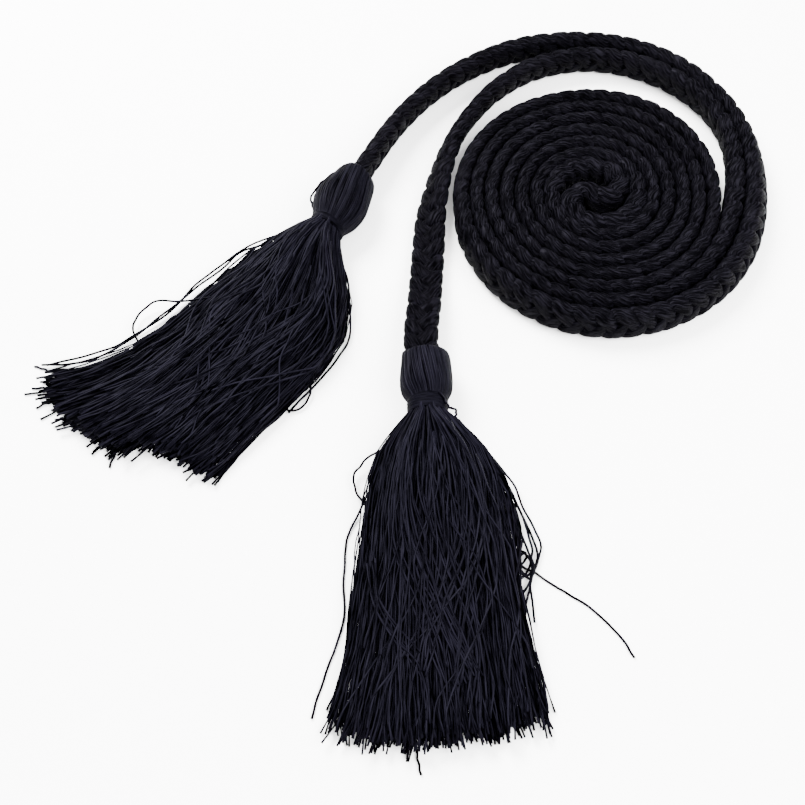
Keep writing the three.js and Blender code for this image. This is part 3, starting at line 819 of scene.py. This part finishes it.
def bundle_ways(tassel):
    """Threads that cross the top of the skirt side by side."""
    ways = []
    for count, apart, way in tassel["bundles"]:
        share, u = through([row + [0] for row in way], STRAY_STATIONS)[:, :2].T
        share = share + rng.uniform(-0.05, 0.03, (count, 1)) * np.linspace(0.3, 1, STRAY_STATIONS)
        u = u + apart * rng.normal(0, 1, (count, 1)) * (0.4 + 0.6 * share)
        u = u + 0.02 * wander(count, STRAY_STATIONS, 4) + 0.008 * wander(count, STRAY_STATIONS, 9)
        ways.append(on_skirt(tassel, share, u, 1.06 + 0.07 * wander(count, STRAY_STATIONS, 4)))
    return np.concatenate(ways)


def loose_ways(tassel):
    """Bunches of threads that hang outside the skirt's sides and come back to it."""
    ways = []
    for which, count, first, last, off in tassel["loose"]:
        start = first + rng.uniform(0, 0.25, (count, 1)) * (last - first)
        stop = last - rng.uniform(0, 0.3, (count, 1)) * (last - first)
        t = np.linspace(0, 1, STRAY_STATIONS)[None]
        share = start + (stop - start) * t
        inward = 1 if which == 0 else -1
        u = np.broadcast_to(which + inward * TOP_EDGE, share.shape)
        y, low, height = skirt_section(tassel, share, u)
        out = off * rng.uniform(0.15, 1.0, (count, 1)) * np.sin(math.pi * t) ** 0.8 - KEPT_IN
        y = y - inward * (out + LOOSE_WAVE * wander(count, STRAY_STATIONS, 7))
        rise = rng.uniform(0.1, 0.8, (count, 1)) * (1 + 0.3 * wander(count, STRAY_STATIONS, 5))
        ways.append(np.stack([SKIRT_START + SKIRT_LENGTH * share, y, 0.3 + height * rise], axis=-1))
    return np.concatenate(ways)


def stray_ways(side):
    """Ways, radii and shades of all the threads that have come loose: those across the top of the skirt are
    painted light like its top threads, the rest dark.
    """
    listed = np.array([through(points, STRAY_STATIONS) for points in STRAYS[side]])
    waves = np.stack([wander(len(listed), STRAY_STATIONS, 16) for _ in range(2)], axis=-1)
    listed[..., :2] += LISTED_WAVE * waves
    tassel = tassels[side]
    loose = loose_ways(tassel)
    on_top = np.concatenate([arc_ways(tassel), bundle_ways(tassel)])
    counts = [len(listed), len(loose), len(on_top)]
    radii = np.repeat([STRAY_RADIUS, LOOSE_RADIUS, ARC_RADIUS], counts)
    ways = np.concatenate([listed, loose, on_top])
    ways[..., 2] = np.maximum(ways[..., 2], radii[:, None])
    # Painted light and shade: arcs and bundles on the skirt's top get light tones, the threads at its sides
    # and on the floor dark ones.
    light, dark = rng.uniform(0.5, 1.0, len(radii)), rng.uniform(0, 0.5, len(radii))
    return ways, radii, np.where(radii == ARC_RADIUS, light, dark)


# %% The mass of thread inside the head and the top of the skirt
INNER_SIDES = 48
INNER_GIRTH = 40  # mm
# Distance along the head as a share of its length, and radius in mm
INNER_PROFILE = [[0.06, 0.5], [0.12, 5.4], [0.3, 6.1], [0.6, 6.2], [0.8, 5.9], [0.92, 5.2],
                 [1.0, 4.5], [1.4, 4.3]]


def inner_rings():
    """Rings just under the threads that show, from the mouth into the skirt."""
    profile = np.array(INNER_PROFILE)
    x, radius = profile[:, :1] * HEAD_LENGTH, profile[:, 1:]
    angle = 2 * math.pi * np.arange(INNER_SIDES) / INNER_SIDES
    y, z = radius * np.cos(angle), AXIS_HEIGHT + radius * np.sin(angle)
    return np.stack([np.broadcast_to(x, y.shape), y, z], axis=-1)[None]


# %% Make both tassels
UPRIGHT = np.array([0, 0, 1.0])
HEAD_SHADES = (0.25, 0.85)

pieces = {"head_threads": [], "skirt_threads": [], "stray_threads": [], "neck_winding": [],
          "inner_threads": []}


def add_piece(kind, side, rings, girth, shades=None):
    mesh = tube_mesh(f"{kind}_{side}", place(tassels[side], rings), girth, shades)
    pieces[kind].append(mesh)
    return mesh


for side, tassel in tassels.items():
    ways, across = head_ways(tassel)
    rings = round_rings(ways, HEAD_THREAD_RADIUS, 6, across)
    shades = rng.uniform(*HEAD_SHADES, HEAD_THREADS)
    add_piece("head_threads", side, rings, 2 * math.pi * HEAD_THREAD_RADIUS, shades)
    way, across = winding_way()
    rings = round_rings(way, WINDING_RADIUS, 8, across)
    winding = add_piece("neck_winding", side, rings, 2 * math.pi * WINDING_RADIUS)
    ways, shades = skirt_ways(tassel, SKIRT_THREADS)
    radius = np.full(ways.shape[:2], SKIRT_THREAD_RADIUS)
    radius[:, -1] *= TIP_FLARE
    rings = round_rings(ways, radius, SKIRT_SIDES, UPRIGHT)
    skirt = add_piece("skirt_threads", side, rings, 2 * math.pi * SKIRT_THREAD_RADIUS, shades)
    ways, radii, shades = stray_ways(side)
    rings = round_rings(ways, radii, 5, UPRIGHT)
    add_piece("stray_threads", side, rings, 2 * math.pi * ARC_RADIUS, shades)
    add_piece("inner_threads", side, inner_rings(), INNER_GIRTH)
    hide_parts(f"tassel_{side}")
    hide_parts(f"neck_binding_{side}")

for kind, made in pieces.items():
    for piece in made:
        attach(piece, "root")

# %% [markdown]
# ## The thread's colour, with painted shade
# The whole belt is cotton thread, dyed a blue so dark that it reads as black. The eye sees soft,
# almost matt lines, and the colour paints them: each thread is a little lighter along its top, a
# painted highlight, the hollows between threads are black, a painted shade, and no two threads or
# patches are equally dark. The plaited, the loose and the wound thread differ only in how fine and
# how deep those lines are. Colours are given as they look on screen and turned to linear light.

# %% Helpers for materials
def linear(colour):
    """A #rrggbb colour as linear light."""
    parts = [int(colour[i:i + 2], 16) / 255 for i in (1, 3, 5)]
    return [c / 12.92 if c <= 0.04045 else ((c + 0.055) / 1.055) ** 2.4 for c in parts] + [1]


def add_node(tree, kind, settings=None, links=None):
    """Adds a node. A setting is a property or an input of the node, and a link leads to an input."""
    node = tree.nodes.new(kind)
    for name, value in (settings or {}).items():
        if isinstance(name, str) and hasattr(node, name):
            setattr(node, name, value)
        else:
            node.inputs[name].default_value = value
    for name, source in (links or {}).items():
        tree.links.new(source, node.inputs[name])
    return node


# %% Thread, dyed, with painted shade in the grooves and painted highlight on the ridges
BEND_SCALE = 0.16  # per mm: the noise that bends the threads changes about every 6 mm
BEND_MM = 0.5  # how far it moves them
DRAWN_OUT = 0.08  # a thread's width against the length over which it stays the same
PATCH_SCALE = 60.0  # per metre: lighter and darker patches, about 17 mm wide
PATCH_SHARE = 0.4  # how much a patch counts against a thread's own shade
TONES = (0.55, 1.9)  # sums of ridge, shade and patch that are black and fully light


def thread_with_painted_shade(name, light, thread_mm, softness, relief_mm, roughness, specular):
    """Dyed thread, in lines thread_mm apart round the tube, painted black in the grooves as shade and
    lighter on the ridges as highlight. The softness is how gradually they fade.
    """
    material = bpy.data.materials.new(name)
    material.use_nodes = True
    tree = material.node_tree
    tree.nodes.clear()
    uv = add_node(tree, "ShaderNodeUVMap", {"uv_map": "thread_mm"})
    # Threads: noise drawn out along the tube, bent a little by a slower noise
    bend = add_node(tree, "ShaderNodeTexNoise", {"Scale": BEND_SCALE, "Detail": 1.0},
                    {"Vector": uv.outputs[0]})
    bent = add_node(tree, "ShaderNodeVectorMath", {"operation": "MULTIPLY_ADD", 1: (BEND_MM, 0, 0)},
                    {0: bend.outputs["Color"], 2: uv.outputs[0]})
    drawn = add_node(tree, "ShaderNodeMapping", {"Scale": (1 / thread_mm, DRAWN_OUT / thread_mm, 1.0)},
                     {0: bent.outputs[0]})
    threads = add_node(tree, "ShaderNodeTexNoise", {"Scale": 1.0, "Detail": 2.0, "Roughness": 0.6},
                       {"Vector": drawn.outputs[0]})
    ridges = add_node(tree, "ShaderNodeMapRange", {"From Min": 0.5 - softness, "From Max": 0.5 + softness},
                      {"Value": threads.outputs["Fac"]})
    bump = add_node(tree, "ShaderNodeBump", {"Strength": 1.0, "Distance": relief_mm * MM},
                    {"Height": ridges.outputs[0]})
    # Colour: painted shade, black in the grooves, and a painted highlight, lighter on the ridges, and each
    # thread and patch its own tone
    shade = add_node(tree, "ShaderNodeAttribute", {"attribute_name": "shade"})
    where = add_node(tree, "ShaderNodeTexCoord")
    patches = add_node(tree, "ShaderNodeTexNoise", {"Scale": PATCH_SCALE, "Detail": 2.0},
                       {"Vector": where.outputs["Object"]})
    both = add_node(tree, "ShaderNodeMath", {"operation": "ADD"},
                    {0: shade.outputs["Fac"], 1: ridges.outputs[0]})
    mixed = add_node(tree, "ShaderNodeMath", {"operation": "MULTIPLY_ADD", 1: PATCH_SHARE},
                     {0: patches.outputs["Fac"], 2: both.outputs[0]})
    tone = add_node(tree, "ShaderNodeMapRange", {"From Min": TONES[0], "From Max": TONES[1]},
                    {"Value": mixed.outputs[0]})
    colour = add_node(tree, "ShaderNodeMix", {"data_type": "RGBA"}, {"Factor": tone.outputs[0]})
    inlets = [i for i in colour.inputs if i.type == "RGBA"]
    inlets[0].default_value = linear("#000000")
    inlets[1].default_value = linear(light)
    colour_out = [o for o in colour.outputs if o.type == "RGBA"][0]
    shine = add_node(tree, "ShaderNodeMath", {"operation": "MULTIPLY", 1: specular}, {0: tone.outputs[0]})
    surface = add_node(tree, "ShaderNodeBsdfPrincipled", {"Roughness": roughness, "IOR": 1.5},
                       {"Base Color": colour_out, "Normal": bump.outputs[0],
                        "Specular IOR Level": shine.outputs[0]})
    add_node(tree, "ShaderNodeOutputMaterial", links={"Surface": surface.outputs[0]})
    return material


plaited_thread = thread_with_painted_shade("plaited_cotton_thread", "#08070c", 0.36, 0.07, 0.35, 0.6, 0.02)
loose_thread = thread_with_painted_shade("loose_cotton_thread", "#09080f", 0.5, 0.1, 0.05, 0.55, 0.02)
wound_thread = thread_with_painted_shade("wound_cotton_thread", "#09080f", 0.5, 0.2, 0.05, 0.55, 0.02)
# The mass inside is painted almost black, as painted shade inside the head where it shows between the
# threads.
inner_thread = thread_with_painted_shade("inner_thread_painted_shade", "#010102", 0.8, 0.3, 0.1, 0.8, 0.01)

for strand in strands:
    strand.data.materials.append(plaited_thread)
thread_materials = {"head_threads": wound_thread, "skirt_threads": loose_thread, "stray_threads": loose_thread,
            "neck_winding": wound_thread, "inner_threads": inner_thread}
for kind, made in pieces.items():
    for piece in made:
        piece.data.materials.append(thread_materials[kind])
    print(kind, "in", thread_materials[kind].name)

# %% [markdown]
# ## The floor and the light
# The photograph is a product picture: an almost white floor, a soft light from all round, and only
# faint shadows close to the rope. Two wide lamps and a bright surround give that.

# %% Lay the floor
FLOOR_SIZE = 6.0  # m, past every view's edge

bpy.ops.object.select_all(action="DESELECT")
bpy.ops.mesh.primitive_plane_add(size=FLOOR_SIZE, location=(0, 0, 0))
floor = bpy.context.object
floor.name = "floor"
paper = bpy.data.materials.new("matt_white_paper")
paper.use_nodes = True
paper_surface = paper.node_tree.nodes["Principled BSDF"]
paper_surface.inputs["Base Color"].default_value = linear("#fafafa")
paper_surface.inputs["Roughness"].default_value = 0.9
floor.data.materials.append(paper)
print("floor:", FLOOR_SIZE, "m of", paper.name)


# %% Light it
SURROUND = 3.8  # strength of the bright surround


def soft_lamp(name, place_mm, size_mm, watts, target_mm):
    """A square lamp that faces the target."""
    bpy.ops.object.light_add(type="AREA", location=[c * MM for c in place_mm])
    lamp = bpy.context.object
    lamp.name = name
    lamp.data.size = size_mm * MM
    lamp.data.energy = watts
    aim = np.array(target_mm, float) - np.array(place_mm, float)
    flat = math.hypot(aim[0], aim[1])
    lamp.rotation_euler = (math.atan2(flat, -aim[2]), 0, math.atan2(aim[1], aim[0]) - math.pi / 2)
    return lamp


lamps = [soft_lamp("key_lamp", (-420, 420, 620), 420, 58.0, LOOK_AT),
         soft_lamp("fill_lamp", (380, -260, 560), 520, 25.0, LOOK_AT)]
world = bpy.data.worlds.new("surround")
bpy.context.scene.world = world
world.use_nodes = True
world.node_tree.nodes["Background"].inputs["Color"].default_value = (1, 1, 1, 1)
world.node_tree.nodes["Background"].inputs["Strength"].default_value = SURROUND
print("lamps:", [lamp.name for lamp in lamps])
